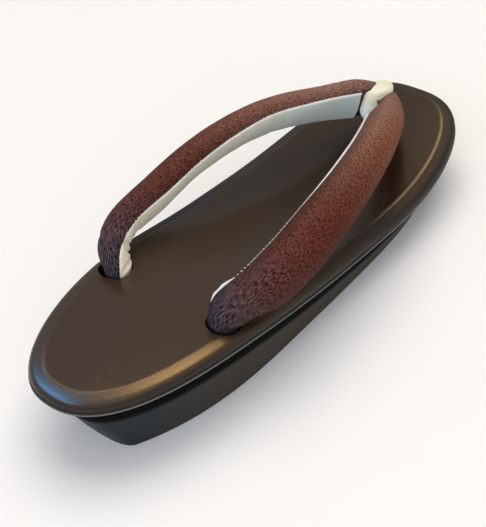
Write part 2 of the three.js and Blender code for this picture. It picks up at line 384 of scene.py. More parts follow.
CUT_TOP = 60
pockets = [plug(post_outline(side, POCKET_CLEARANCE), ARM[0][2] - GAP, CUT_TOP) for side in (1, -1)]
pockets.append(plug(loop_outline(LOOP[0], POCKET_CLEARANCE), LOOP[0][0] - GAP, CUT_TOP))
cut_away(sole, pockets)
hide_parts("sole")
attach(sole, "root")

# Footbed: a sponge layer wrapped in dark brown leather, rolled over its edge and tucked under the
# rim. A soft crease runs round it where the flat top starts, and three holes take the strap and loop.
# Rows of the edge are inset and rise, from the underside over the roll to the flat top.
EDGE = [
    (6.0, 0.0), (2.2, 0.0), (1.0, 0.02), (0.35, 0.12), (0.02, 0.4), (0.0, 0.7), (0.12, 1.0),
    (0.2, 1.3), (0.22, 1.8), (0.34, 2.5), (0.6, 3.2), (1.0, 3.9), (1.55, 4.5), (2.3, 4.93),
    (3.4, 5.24), (4.4, 5.435), (5.4, 5.605), (6.0, 5.695), (6.4, 5.75), (6.8, 5.785), (7.3, 5.8),
    (8.2, 5.8), (9.4, 5.8),
]
CREASE = 6.45
HOLE_CLEARANCE = 1.0
HOLE_SHIFT = (0.1, -0.9, 0)
HOLE_CUT = (10, 70)
FLAT_RISE = 5.7
FLAT_INSET = 8
CROWN = 0.35
DIP = 0.3
DIP_REACH = 1.4

# Dyed cowhide with a smooth finish: fine grain, soft satin gloss, darker and lighter clouds, and
# small pale specks at the heel. A pale gold painted highlight runs along the crease, painted shade
# darkens the bed towards the toe and the roll round the toe, and that roll is matt. Specks and grain
# are drawn coarser than life, so that they show.
leather, tree = new_material("smooth_leather_brown")
coords = add_node(tree, "ShaderNodeTexCoord", {}, {})
spot = coords.outputs["Object"]
clouds = add_node(tree, "ShaderNodeTexNoise", {}, {
    "Vector": spot, "Scale": 1 / (30 * MM), "Detail": 4.0, "Roughness": 0.6})
dyed = add_node(tree, "ShaderNodeMix", {"data_type": "RGBA"}, {
    0: clouds.outputs["Fac"], 6: linear("#302217"), 7: linear("#3d2b1e")})
places = add_node(tree, "ShaderNodeSeparateXYZ", {}, {"Vector": spot})
# Painted shade: the bed is darker towards the toe and under the strap.
strap_shade_toeward = add_node(tree, "ShaderNodeMapRange", {"interpolation_type": "SMOOTHSTEP"}, {
    "Value": places.outputs["Y"], "From Min": -35 * MM, "From Max": 55 * MM})
tone = add_node(tree, "ShaderNodeMix", {"data_type": "RGBA", "blend_type": "MULTIPLY"}, {
    0: strap_shade_toeward.outputs["Result"], 6: dyed.outputs[2], 7: linear("#c8b7a6")})
cells = add_node(tree, "ShaderNodeTexVoronoi", {}, {
    "Vector": spot, "Scale": 1 / (1.5 * MM), "Randomness": 1.0})
dots = add_node(tree, "ShaderNodeMapRange", {"interpolation_type": "SMOOTHSTEP"}, {
    "Value": cells.outputs["Distance"], "From Min": 0.3, "From Max": 0.1})
from_heel = add_node(tree, "ShaderNodeVectorMath", {"operation": "DISTANCE"}, {
    0: spot, 1: (0.0, -98 * MM, 37 * MM)})
heelward = add_node(tree, "ShaderNodeMapRange", {"interpolation_type": "SMOOTHSTEP"}, {
    "Value": from_heel.outputs["Value"], "From Min": 25 * MM, "From Max": 9 * MM})
patchy = add_node(tree, "ShaderNodeMapRange", {}, {
    "Value": clouds.outputs["Fac"], "From Min": 0.45, "From Max": 0.6})
worn = add_node(tree, "ShaderNodeMath", {"operation": "MULTIPLY"}, {
    0: dots.outputs["Result"], 1: heelward.outputs["Result"]})
specks = add_node(tree, "ShaderNodeMath", {"operation": "MULTIPLY"}, {
    0: worn.outputs[0], 1: patchy.outputs["Result"]})
pored = add_node(tree, "ShaderNodeMix", {"data_type": "RGBA"}, {
    0: specks.outputs[0], 6: tone.outputs[2], 7: linear("#4e4136")})
# Painted highlight: the crease is mixed towards pale gold.
crease_glint = add_node(tree, "ShaderNodeAttribute", {"attribute_name": "crease"}, {})
painted_light_share = add_node(tree, "ShaderNodeMath", {"operation": "MULTIPLY"}, {
    0: crease_glint.outputs["Fac"], 1: 0.7})
tone_with_crease_glint = add_node(tree, "ShaderNodeMix", {"data_type": "RGBA"}, {
    0: painted_light_share.outputs[0], 6: pored.outputs[2], 7: linear("#967f58")})
# Painted shade: the flank and the toe's roll are mixed towards near black.
flank = add_node(tree, "ShaderNodeAttribute", {"attribute_name": "flank"}, {})
with_painted_shade = add_node(tree, "ShaderNodeMix", {"data_type": "RGBA"}, {
    0: flank.outputs["Fac"], 6: tone_with_crease_glint.outputs[2], 7: linear("#14110e")})
# Painted highlight: the lip at the foot of the flank is mixed towards pale grey.
lip = add_node(tree, "ShaderNodeAttribute", {"attribute_name": "lip"}, {})
lip_highlight_tone = add_node(tree, "ShaderNodeMix", {"data_type": "RGBA"}, {
    0: lip.outputs["Fac"], 6: with_painted_shade.outputs[2], 7: linear("#6f716e")})
satin = add_node(tree, "ShaderNodeMapRange", {}, {
    "Value": clouds.outputs["Fac"], "To Min": 0.2, "To Max": 0.24})
bevel = add_node(tree, "ShaderNodeAttribute", {"attribute_name": "bevel"}, {})
gloss = add_node(tree, "ShaderNodeMath", {"operation": "MULTIPLY_ADD"}, {
    0: bevel.outputs["Fac"], 1: 0.09, 2: satin.outputs["Result"]})
grain = add_node(tree, "ShaderNodeTexVoronoi", {"feature": "SMOOTH_F1"}, {
    "Vector": spot, "Scale": 1 / (0.9 * MM), "Smoothness": 0.4})
relief = add_node(tree, "ShaderNodeBump", {}, {
    "Height": grain.outputs["Distance"], "Strength": 0.16, "Distance": 0.1 * MM})
surface = add_node(tree, "ShaderNodeBsdfPrincipled", {}, {
    "Base Color": lip_highlight_tone.outputs[2], "Roughness": gloss.outputs[0],
    "Normal": relief.outputs["Normal"], "Specular IOR Level": 0.5})
add_node(tree, "ShaderNodeOutputMaterial", {}, {"Surface": surface.outputs["BSDF"]})

profile = through_rows(np.array(EDGE), np.linspace(0, 1, 3 * len(EDGE) - 2))
rings = []
for inset, rise in profile:
    rings.append(outline_ring(footbed_half, 0, LENGTH, inset, lambda along: rim_height(along) + rise))
footbed = oval_skin("footbed_pad", rings, 2, 56)[0]
inset, rise = profile.T
across, along = rings[0][:, 0], rings[0][:, 1]


def mark_edge(name, shares):
    """Keep a value for each point of the rolled edge, ring by ring, as an attribute."""
    marks = np.zeros(len(footbed.data.vertices))
    marks[:shares.size] = shares.ravel()
    footbed.data.attributes.new(name, "FLOAT", "POINT").data.foreach_set("value", marks)


# The painted highlight on the crease is strongest on the right of the toe, and faint round the heel.
toe_glint = ramp(along, 150, 175) * ramp(along, 240, 226)
toe_glint *= np.clip(ramp(across, -6, 6), 0.04, 1)
heel_glint = 0.28 * ramp(along, 20, 11)
line = np.exp(-((inset - CREASE) / 0.6) ** 2)
line[:len(line) // 2] = 0
mark_edge("crease", np.outer(line, 0.05 + 0.95 * np.maximum(toe_glint, heel_glint)))

# Painted shade darkens the flank and the roll ahead of the heel, which is also matt, and a painted
# highlight makes the lip at the flank's foot paler.
matt_from = np.where(across < 0, 55, 135)
toeness = ramp(along, matt_from, matt_from + 30)
dark_side = 0.85 * ramp(rise, 4.3, 3.4)
dark_toe = 0.7 * ramp(inset, 6.2, 5.7)
mark_edge("flank", np.maximum(dark_side[:, None], np.outer(dark_toe, toeness)))
bead = np.exp(-((rise - 0.65) / 0.36) ** 2) * (inset < 0.5)
mark_edge("lip", np.outer(0.9 * bead, np.ones(len(along))))
matt_heel = ramp(inset, 7, 5.4) + 7 * ramp(rise, 3, 2)
matt_toe = 4.5 * ramp(inset, 6.3, 5.8)
mark_edge("bevel", np.outer(matt_heel, 1 - toeness) + np.outer(matt_toe, toeness))

# The sponge gives a slight crown inside the crease, and the leather dips round each hole.
spots = np.empty(len(footbed.data.vertices) * 3)
footbed.data.vertices.foreach_get("co", spots)
spots = spots.reshape(-1, 3) / MM + (0, LENGTH / 2, 0)
on_top = spots[:, 2] > rim_height(spots[:, 1]) + FLAT_RISE
flat_half = np.clip(footbed_half(spots[:, 1]) - FLAT_INSET, 1, None)
crown = CROWN * np.clip(1 - (spots[:, 0] / flat_half) ** 2, 0, None)
dip = np.zeros(len(spots))
holes = []
for side in (1, -1):
    holes.append(post_outline(side, HOLE_CLEARANCE) + np.multiply(HOLE_SHIFT, (side, 1, 1)))
holes.append(loop_outline(LOOP[0], HOLE_CLEARANCE))
for ring in holes:
    gaps = spots[:, None, :2] - ring[None, :, :2]
    near = np.sqrt((gaps ** 2).sum(2)).min(1)
    dip += DIP * np.exp(-(near / DIP_REACH) ** 2)
spots[:, 2] += on_top * (crown - dip)
spots = (spots - (0, LENGTH / 2, 0)) * MM
footbed.data.vertices.foreach_set("co", spots.ravel())
footbed.data.materials.append(leather)
cut_away(footbed, [plug(ring, *HOLE_CUT) for ring in holes])
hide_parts("footbed")
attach(footbed, "root")

# Strap: two arms of stuffed crepe cloth that cross under the toe loop. Each arm is a tube sewn to
# its lining along both edges, and its end is pushed down a hole beside the heel.
ARM_STATIONS = 300
CLOTH_SIDES = 44
LUMP_DEPTH = 0.12
LUMP_SIZE = 9
arm_share = np.linspace(0, 1, ARM_STATIONS + 1)
arm_middle = arm_frame(arm_share)[0]
arm_run = np.concatenate([[0], np.cumsum(np.linalg.norm(np.diff(arm_middle, axis=0), axis=1))])


def soft_fold(run, turn, at, lean, centre, reach, width, depth):
    """A trough that crosses an arm at run at, leaning by lean, centred on a turn of its section."""
    across = run - at - lean * (turn - centre)
    fade = np.exp(-((turn - centre) / reach) ** 2)
    return -depth * fade * np.exp(-(across / width) ** 2)


def arm_skin(name, sides_list, share, half_of, base, bulge_of, sides, folds,
             lip=((0, 0), (200, 0)), sag=1.0):
    """Closed mesh of half-round bands, one for each side, with runs and turns kept as a UV map."""
    points, faces, runs, turns, uvs = [], [], [], [], []
    middle, up, out, width, cloth, lining = arm_frame(share)
    run = np.interp(share, arm_share, arm_run)[:, None]
    turn = np.linspace(0, 1, sides + 1)[None, :]
    angle = np.pi * turn
    half = half_of(width) + np.interp(run, *zip(*lip))
    bulge = bulge_of(cloth, lining)
    for side in sides_list:
        start = sum(len(block) for block in points)
        lumps = np.zeros((len(share), sides + 1))
        for fold_side, *fold in folds:
            if fold_side in (0, side):
                lumps += soft_fold(run, turn, *fold)
        long, tall = np.broadcast_to(half, lumps.shape), np.broadcast_to(abs(bulge), lumps.shape)
        lean_up, lean_out = np.cos(angle) / long, np.sin(angle) / tall
        size = np.hypot(lean_up, lean_out)
        offset_up = half * np.cos(angle) + lumps * lean_up / size
        offset_out = bulge * np.sin(np.pi * turn ** sag) + np.sign(bulge) * lumps * lean_out / size
        grid = middle[:, None] + up[:, None] * offset_up[..., None]
        grid = grid + out[:, None] * (base + offset_out)[..., None]
        for j in range(len(share)):
            for i in range(1, sides):
                lump = LUMP_DEPTH * noise.noise(Vector(grid[j, i] * (side, 1, 1)) / LUMP_SIZE)
                push = up[j] * lean_up[j, i] + np.sign(bulge[j]) * out[j] * lean_out[j, i]
                grid[j, i] += lump * push / size[j, i]
        grid = grid * (side, 1, 1)
        points.append(grid.reshape(-1, 3))
        count = sides + 1
        turned = side * np.sign(bulge[0, 0]) < 0
        for j in range(len(share) - 1):
            for i in range(count):
                a = start + j * count + i
                b = start + j * count + (i + 1) % count
                face = (a, b, b + count, a + count)
                faces.append(face[::-1] if turned else face)
        first = tuple(range(start, start + count))
        last = tuple(k + (len(share) - 1) * count for k in first)
        faces += [first, last[::-1]] if turned else [first[::-1], last]
        girth = np.pi * (half + abs(bulge)) / 2
        lengthwise = np.broadcast_to(run, lumps.shape)
        uvs.append(np.stack([lengthwise, girth * (turn - 0.5)], 2).reshape(-1, 2))
        runs.append(np.broadcast_to(run / arm_run[-1], lumps.shape).ravel())
        turns.append(np.broadcast_to(turn, lumps.shape).ravel())
    mesh = bpy.data.meshes.new(name)
    spots = (np.concatenate(points) - (0, LENGTH / 2, 0)) * MM
    mesh.from_pydata(spots.tolist(), [], faces)
    corner = np.empty(len(mesh.loops), int)
    mesh.loops.foreach_get("vertex_index", corner)
    layer = mesh.uv_layers.new(name="run_and_girth")
    layer.uv.foreach_set("vector", (np.concatenate(uvs)[corner] * MM).ravel())
    mesh.attributes.new("run", "FLOAT", "POINT").data.foreach_set("value", np.concatenate(runs))
    mesh.attributes.new("turn", "FLOAT", "POINT").data.foreach_set("value", np.concatenate(turns))
    mesh.shade_smooth()
    mesh.set_sharp_from_angle(angle=math.radians(50))
    piece = bpy.data.objects.new(name, mesh)
    bpy.context.scene.collection.objects.link(piece)
    return piece


# Crepe cloth over cotton stuffing, dyed in a fade: charcoal violet in the holes, burgundy along
# the arms and copper brown at the toe. Painted light and shade run across each arm, cool grey at the
# upper edge and dark red brown at the lower edge, weaker near the holes. Short wavy wrinkles of the
# weave are drawn 1.5 mm long, coarser than life, so that they show; their tops are painted paler as
# painted glints and their hollows darker as painted shade, most strongly near the holes.
crepe, tree = new_material("crepe_cloth_burgundy")
faded = add_node(tree, "ShaderNodeAttribute", {"attribute_name": "run"}, {})
dye = add_node(tree, "ShaderNodeValToRGB", {}, {"Fac": faded.outputs["Fac"]})
dye.color_ramp.elements[0].position = 0.07
dye.color_ramp.elements[0].color = linear("#322d34")
dye.color_ramp.elements[1].position = 1.0
dye.color_ramp.elements[1].color = linear("#715043")
for place, colour in (
    (0.15, "#3c2020"), (0.27, "#481b10"), (0.4, "#522415"),
    (0.55, "#633a2d"), (0.72, "#774e3f"), (0.86, "#7e584a"),
):
    dye.color_ramp.elements.new(place).color = linear(colour)
# Painted light and shade across each arm, by turn: cool grey at the upper edge, dark at the lower,
# weaker near the holes.
crosswise = add_node(tree, "ShaderNodeAttribute", {"attribute_name": "turn"}, {})
edge_light_and_shade = add_node(tree, "ShaderNodeValToRGB", {}, {"Fac": crosswise.outputs["Fac"]})
edge_light_and_shade.color_ramp.elements[0].color = linear("#b4b2bc")
edge_light_and_shade.color_ramp.elements[1].color = linear("#4a2a24")
for place, colour in ((0.22, "#ffffff"), (0.45, "#e6c5a2"), (0.7, "#dcb591"), (0.87, "#a87c62")):
    edge_light_and_shade.color_ramp.elements.new(place).color = linear(colour)
painted_light_share = add_node(tree, "ShaderNodeMapRange", {}, {
    "Value": faded.outputs["Fac"], "From Min": 0.12, "From Max": 0.35, "To Min": 0.55, "To Max": 1.0})
dye_with_edge_shade = add_node(tree, "ShaderNodeMix", {"data_type": "RGBA", "blend_type": "MULTIPLY"}, {
    0: painted_light_share.outputs["Result"], 6: dye.outputs["Color"], 7: edge_light_and_shade.outputs["Color"]})
cloth_map = add_node(tree, "ShaderNodeUVMap", {"uv_map": "run_and_girth"}, {})
stretched = add_node(tree, "ShaderNodeMapping", {}, {
    "Vector": cloth_map.outputs["UV"], "Scale": (1 / (1.5 * MM), 1 / (0.32 * MM), 1.0)})
wrinkles = add_node(tree, "ShaderNodeTexNoise", {}, {
    "Vector": stretched.outputs[0], "Scale": 1.0, "Detail": 2.0, "Roughness": 0.6, "Distortion": 0.35})
tops = add_node(tree, "ShaderNodeMapRange", {"interpolation_type": "SMOOTHSTEP"}, {
    "Value": wrinkles.outputs["Fac"], "From Min": 0.42, "From Max": 0.6})
relief = add_node(tree, "ShaderNodeBump", {}, {
    "Height": tops.outputs["Result"], "Strength": 0.6, "Distance": 0.3 * MM})
# Lit and shaded copies of the cloth, mixed by the wrinkle tops: painted glints and painted shade.
with_painted_shade = add_node(tree, "ShaderNodeHueSaturation", {}, {"Color": dye_with_edge_shade.outputs[2], "Value": 0.32})
painted_glints = add_node(tree, "ShaderNodeHueSaturation", {}, {
    "Color": dye_with_edge_shade.outputs[2], "Saturation": 0.8, "Value": 3.6})
glints_and_shade = add_node(tree, "ShaderNodeMix", {"data_type": "RGBA"}, {
    0: tops.outputs["Result"], 6: with_painted_shade.outputs["Color"], 7: painted_glints.outputs["Color"]})
# The painted glints and shade fade from the holes along the arm.
calm = add_node(tree, "ShaderNodeMapRange", {}, {
    "Value": faded.outputs["Fac"], "From Min": 0.15, "From Max": 0.45, "To Min": 1.0, "To Max": 0.45})
grain_with_painted_glints = add_node(tree, "ShaderNodeMix", {"data_type": "RGBA"}, {
    0: calm.outputs["Result"], 6: dye_with_edge_shade.outputs[2], 7: glints_and_shade.outputs[2]})
surface = add_node(tree, "ShaderNodeBsdfPrincipled", {}, {
    "Base Color": grain_with_painted_glints.outputs[2], "Roughness": 0.55, "Normal": relief.outputs["Normal"],
    "Specular IOR Level": 0.06})
add_node(tree, "ShaderNodeOutputMaterial", {}, {"Surface": surface.outputs["BSDF"]})

# Folds as arm (1 right, -1 left, 0 both), run, lean, turn, reach over turn, width and depth. The
# right arm's upper edge tucks down under the loop at its end.
TOE_TUCK = (1, 160, 50, 0.1, 0.3, 9, 3.5)
CLOTH_FOLDS = [
    (-1, 140, 3, 0.12, 0.18, 1.6, 0.7), (-1, 145, -2, 0.1, 0.16, 1.4, 0.6),
    (-1, 149.5, 2, 0.15, 0.2, 1.6, 0.7), (-1, 154, -3, 0.12, 0.2, 1.8, 0.8),
    (-1, 133, 2, 0.1, 0.14, 1.5, 0.4), (1, 21, 6, 0.7, 0.2, 1.4, 0.5),
    (-1, 20, -5, 0.4, 0.2, 1.3, 0.5), (1, 26, -4, 0.3, 0.2, 1.5, 0.4),
    (-1, 157.5, 0, 0.4, 0.5, 11, -2.2), (1, 176, 0, 0.6, 0.4, 14, -1.2), (0, 17, 0, 0.9, 0.25, 7, -0.9),
    (0, 12, 0, 0.0, 0.3, 6, -1.0), (1, 3, 0, 0.5, 0.45, 7, 1.8), (-1, 3, 0, 0.5, 0.45, 7, 0.8),
    TOE_TUCK,
]
strap = arm_skin("strap_arms", (1, -1), arm_share, lambda width: width / 2, 0.0,
                 lambda cloth, lining: cloth, CLOTH_SIDES, CLOTH_FOLDS)
strap.data.materials.append(crepe)
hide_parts("strap")
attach(strap, "root")

# Linings: strips of brushed white cotton under each arm, against the foot. They are sewn to the
# cloth along both edges, and crumple where the arm bends out of its hole.

# Brushed cotton, matt with a short fluff that is drawn coarser than life. Painted light and shade
# fade it from warm white by the holes to a cooler grey towards the toe, and a painted highlight
# makes it pure white along the upper seam.
cotton, tree = new_material("brushed_cotton_white")
cloth_map = add_node(tree, "ShaderNodeUVMap", {"uv_map": "run_and_girth"}, {})
fluff = add_node(tree, "ShaderNodeTexNoise", {}, {
    "Vector": cloth_map.outputs["UV"], "Scale": 1 / (0.7 * MM), "Detail": 3.0, "Roughness": 0.6})
stains = add_node(tree, "ShaderNodeTexNoise", {}, {
    "Vector": cloth_map.outputs["UV"], "Scale": 1 / (11 * MM), "Detail": 2.0})
forward = add_node(tree, "ShaderNodeAttribute", {"attribute_name": "run"}, {})
# Painted light and shade along the lining: warm white by the holes, cooler grey towards the toe.
painted_light_by_run = add_node(tree, "ShaderNodeValToRGB", {}, {"Fac": forward.outputs["Fac"]})
painted_light_by_run.color_ramp.elements[0].position = 0.12
painted_light_by_run.color_ramp.elements[0].color = linear("#fff8e2")
painted_light_by_run.color_ramp.elements[1].position = 0.9
painted_light_by_run.color_ramp.elements[1].color = linear("#ccd9d9")
painted_light_by_run.color_ramp.elements.new(0.45).color = linear("#eeece0")
tone = add_node(tree, "ShaderNodeMix", {"data_type": "RGBA", "blend_type": "MULTIPLY"}, {
    0: stains.outputs["Fac"], 6: painted_light_by_run.outputs["Color"], 7: linear("#f4f1e8")})
crosswise = add_node(tree, "ShaderNodeAttribute", {"attribute_name": "turn"}, {})
# Painted highlight: pure white along the upper seam.
seam_highlight = add_node(tree, "ShaderNodeMapRange", {}, {
    "Value": crosswise.outputs["Fac"], "From Min": 0.16, "From Max": 0.06})
cotton_with_seam_highlight = add_node(tree, "ShaderNodeMix", {"data_type": "RGBA"}, {
    0: seam_highlight.outputs["Result"], 6: tone.outputs[2], 7: linear("#ffffff")})
relief = add_node(tree, "ShaderNodeBump", {}, {
    "Height": fluff.outputs["Fac"], "Strength": 0.5, "Distance": 0.2 * MM})
surface = add_node(tree, "ShaderNodeBsdfPrincipled", {}, {
    "Base Color": cotton_with_seam_highlight.outputs[2], "Roughness": 0.9, "Normal": relief.outputs["Normal"],
    "Specular IOR Level": 0.2, "Sheen Weight": 0.2, "Sheen Roughness": 0.6})
add_node(tree, "ShaderNodeOutputMaterial", {}, {"Surface": surface.outputs["BSDF"]})

# How far each lining stands past the seam, by run, then where it ends and tapers along its arm.
LINING_STATIONS = 260
LINING_SIDES = 24
LINING_SAG = 1.3
LINING_THIN = 0.1
LINING_LIP = {
    1: [(0, -1.2), (10, -0.9), (12.5, 0.0), (15, 0.9), (17.5, 1.5), (20, 1.3), (23, 0.6),
        (25, -0.1), (30, -0.06), (65, -0.03), (82, 0.45), (100, 0.75), (170, 0.8)],
    -1: [(0, 0.1), (40, 0.1), (60, -0.05), (110, -0.05), (140, 0.12), (170, 0.2)],
}
LINING_END = {1: 0.87, -1: 0.94}
LINING_TAPER = {1: 0.06, -1: 0.001}
LINING_FOLDS = [
    (-1, 4, 0, 0.55, 0.6, 6, 0.7), (1, 4, 0, 0.55, 0.6, 5, 0.35),
    (0, 11, 5, 0.5, 0.5, 1.2, 0.8), (0, 15.5, -6, 0.6, 0.4, 1.3, 0.9), (0, 20, 4, 0.4, 0.4, 1.4, 0.9),
    (0, 25, -5, 0.6, 0.4, 1.6, 0.7), (0, 31, 4, 0.5, 0.4, 1.8, 0.5), (-1, 112, 5, 0.4, 0.5, 1.3, 0.5),
    (-1, 116, 4, 0.3, 0.4, 1.4, 0.3), TOE_TUCK,
]


def lining_taper(side, share):
    """Share of a lining's full bulge, which thins out at its end."""
    return np.clip((LINING_END[side] - share) / LINING_TAPER[side], LINING_THIN, 1)[:, None]


for side, side_name in ((1, "right"), (-1, "left")):
    lining_share = np.linspace(0, LINING_END[side], LINING_STATIONS)
    taper = lining_taper(side, lining_share)
    strip = arm_skin("lining_" + side_name, (side,), lining_share, lambda width: width / 2, -GAP,
                     lambda cloth, lining: -lining * taper, LINING_SIDES, LINING_FOLDS,
                     LINING_LIP[side], LINING_SAG)
    strip.data.materials.append(cotton)
    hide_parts("strap_lining_" + side_name)
    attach(strip, "root")

# Seam stitches: white cotton thread whipped over the joined edges of cloth and lining. The thread
# is drawn thicker than life, so that the edge looks finely toothed.
STITCH_PITCH = 1.9
STITCH_LENGTH = 1.0
STITCH_SLANT = 0.35
THREAD_WIDTH = 0.5
SEAM_START = 0.13
SEAM_STOP = 0.02
SEAM_STATIONS = 160
SEAM_DEPTH = 0.1

# Twisted cotton thread, matt and off white, faintly mottled by its twist.
thread, tree = new_material("cotton_thread_white")
coords = add_node(tree, "ShaderNodeTexCoord", {}, {})
twist = add_node(tree, "ShaderNodeTexNoise", {}, {
    "Vector": coords.outputs["Object"], "Scale": 1 / (0.3 * MM), "Detail": 1.0})
tone = add_node(tree, "ShaderNodeMix", {"data_type": "RGBA"}, {
    0: twist.outputs["Fac"], 6: linear("#e9e4d2"), 7: linear("#cfc7b2")})
surface = add_node(tree, "ShaderNodeBsdfPrincipled", {}, {
    "Base Color": tone.outputs[2], "Roughness": 0.8, "Specular IOR Level": 0.25})
add_node(tree, "ShaderNodeOutputMaterial", {}, {"Surface": surface.outputs["BSDF"]})

stitching = bpy.data.node_groups.new("whip_stitches", "GeometryNodeTree")
sockets = stitching.interface
sockets.new_socket("Seam", in_out="INPUT", socket_type="NodeSocketGeometry")
pitch_in = sockets.new_socket("Pitch", in_out="INPUT", socket_type="NodeSocketFloat")
long_in = sockets.new_socket("Stitch length", in_out="INPUT", socket_type="NodeSocketFloat")
thick_in = sockets.new_socket("Thread width", in_out="INPUT", socket_type="NodeSocketFloat")
sockets.new_socket("Stitches", in_out="OUTPUT", socket_type="NodeSocketGeometry")
given = add_node(stitching, "NodeGroupInput", {}, {})
path = add_node(stitching, "GeometryNodeMeshToCurve", {}, {"Mesh": given.outputs["Seam"]})
spaced = add_node(stitching, "GeometryNodeResampleCurve", {"mode": "LENGTH"}, {
    "Curve": path.outputs["Curve"], "Length": given.outputs["Pitch"]})
bead = add_node(stitching, "GeometryNodeMeshUVSphere", {}, {
    "Segments": 10, "Rings": 6, "Radius": 0.5})
sizes = add_node(stitching, "ShaderNodeCombineXYZ", {}, {
    "X": given.outputs["Stitch length"], "Y": given.outputs["Thread width"],
    "Z": given.outputs["Thread width"]})
stitch = add_node(stitching, "GeometryNodeTransform", {}, {
    "Geometry": bead.outputs["Mesh"], "Scale": sizes.outputs["Vector"]})
across = add_node(stitching, "GeometryNodeInputNamedAttribute", {"data_type": "FLOAT_VECTOR"}, {
    "Name": "across"})
tangent = add_node(stitching, "GeometryNodeInputTangent", {}, {})
laid = add_node(stitching, "FunctionNodeAlignRotationToVector", {"axis": "X"}, {
    "Vector": across.outputs["Attribute"]})
turned = add_node(stitching, "FunctionNodeAlignRotationToVector", {"axis": "Y", "pivot_axis": "X"}, {
    "Rotation": laid.outputs["Rotation"], "Vector": tangent.outputs["Tangent"]})
uneven = add_node(stitching, "FunctionNodeRandomValue", {"data_type": "FLOAT"}, {
    2: 0.8, 3: 1.15, "Seed": 7})
sewn = add_node(stitching, "GeometryNodeInstanceOnPoints", {}, {
    "Points": spaced.outputs["Curve"], "Instance": stitch.outputs["Geometry"],
    "Rotation": turned.outputs["Rotation"], "Scale": uneven.outputs[1]})
real = add_node(stitching, "GeometryNodeRealizeInstances", {}, {"Geometry": sewn.outputs["Instances"]})
threaded = add_node(stitching, "GeometryNodeSetMaterial", {}, {
    "Geometry": real.outputs["Geometry"], "Material": thread})
add_node(stitching, "NodeGroupOutput", {}, {"Stitches": threaded.outputs["Geometry"]})

seam_points, seam_across, seam_edges = [], [], []
for side in (1, -1):
    seam_share = np.linspace(SEAM_START, LINING_END[side] - SEAM_STOP, SEAM_STATIONS)
    middle, up, out, width = arm_frame(seam_share)[:4]
    for edge in (1, -1):
        start = len(seam_points)
        row = middle + up * (edge * (width / 2)) - out * (GAP + SEAM_DEPTH)
        seam_points += list((row * (side, 1, 1) - (0, LENGTH / 2, 0)) * MM)
        step = np.gradient(middle, axis=0)
        slant = out + STITCH_SLANT * step / np.linalg.norm(step, axis=1, keepdims=True)
        seam_across += list(slant * (side, 1, 1))
        seam_edges += [(k, k + 1) for k in range(start, len(seam_points) - 1)]
mesh = bpy.data.meshes.new("seam_stitches")
mesh.from_pydata([tuple(p) for p in seam_points], seam_edges, [])
mesh.attributes.new("across", "FLOAT_VECTOR", "POINT").data.foreach_set(
    "vector", np.array(seam_across).ravel())
stitches = bpy.data.objects.new("seam_stitches", mesh)
bpy.context.scene.collection.objects.link(stitches)
sewing = stitches.modifiers.new("sewing", "NODES")
sewing.node_group = stitching
sewing[pitch_in.identifier] = STITCH_PITCH * MM
sewing[long_in.identifier] = STITCH_LENGTH * MM
sewing[thick_in.identifier] = THREAD_WIDTH * MM
graph = bpy.context.evaluated_depsgraph_get()
sewn_mesh = bpy.data.meshes.new_from_object(stitches.evaluated_get(graph))
stitches.modifiers.clear()
stitches.data = sewn_mesh
stitches.data.shade_smooth()
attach(stitches, "root")

# Toe loop: a cord-filled sleeve of cream velvet. It comes up through the toe hole, wraps over the
# crossing of the arms and goes back down.

# Cotton velvet with a short dense pile, drawn coarser than life: matt, with a soft sheen where the
# pile leans, and cream on top. Painted cool light makes it a little cooler lower down.
velvet, tree = new_material("cotton_velvet_cream")
coords = add_node(tree, "ShaderNodeTexCoord", {}, {})
pile = add_node(tree, "ShaderNodeTexNoise", {}, {
    "Vector": coords.outputs["Object"], "Scale": 1 / (0.5 * MM), "Detail": 2.0})
brushed = add_node(tree, "ShaderNodeTexNoise", {}, {
    "Vector": coords.outputs["Object"], "Scale": 1 / (5 * MM), "Detail": 2.0})
cream = add_node(tree, "ShaderNodeMix", {"data_type": "RGBA"}, {
    0: brushed.outputs["Fac"], 6: linear("#ece8d0"), 7: linear("#e0dbc2")})
places = add_node(tree, "ShaderNodeSeparateXYZ", {}, {"Vector": coords.outputs["Object"]})
# Painted cool light: the loop is mixed towards a cooler white lower down.
cool_light_low_down = add_node(tree, "ShaderNodeMapRange", {"interpolation_type": "SMOOTHSTEP"}, {
    "Value": places.outputs["Z"], "From Min": 50 * MM, "From Max": 43 * MM})
tone = add_node(tree, "ShaderNodeMix", {"data_type": "RGBA"}, {
    0: cool_light_low_down.outputs["Result"], 6: cream.outputs[2], 7: linear("#e6efe8")})
relief = add_node(tree, "ShaderNodeBump", {}, {
    "Height": pile.outputs["Fac"], "Strength": 0.4, "Distance": 0.2 * MM})
surface = add_node(tree, "ShaderNodeBsdfPrincipled", {}, {
    "Base Color": tone.outputs[2], "Roughness": 0.95, "Normal": relief.outputs["Normal"],
    "Specular IOR Level": 0.15, "Sheen Weight": 0.5, "Sheen Roughness": 0.35})
add_node(tree, "ShaderNodeOutputMaterial", {}, {"Surface": surface.outputs["BSDF"]})

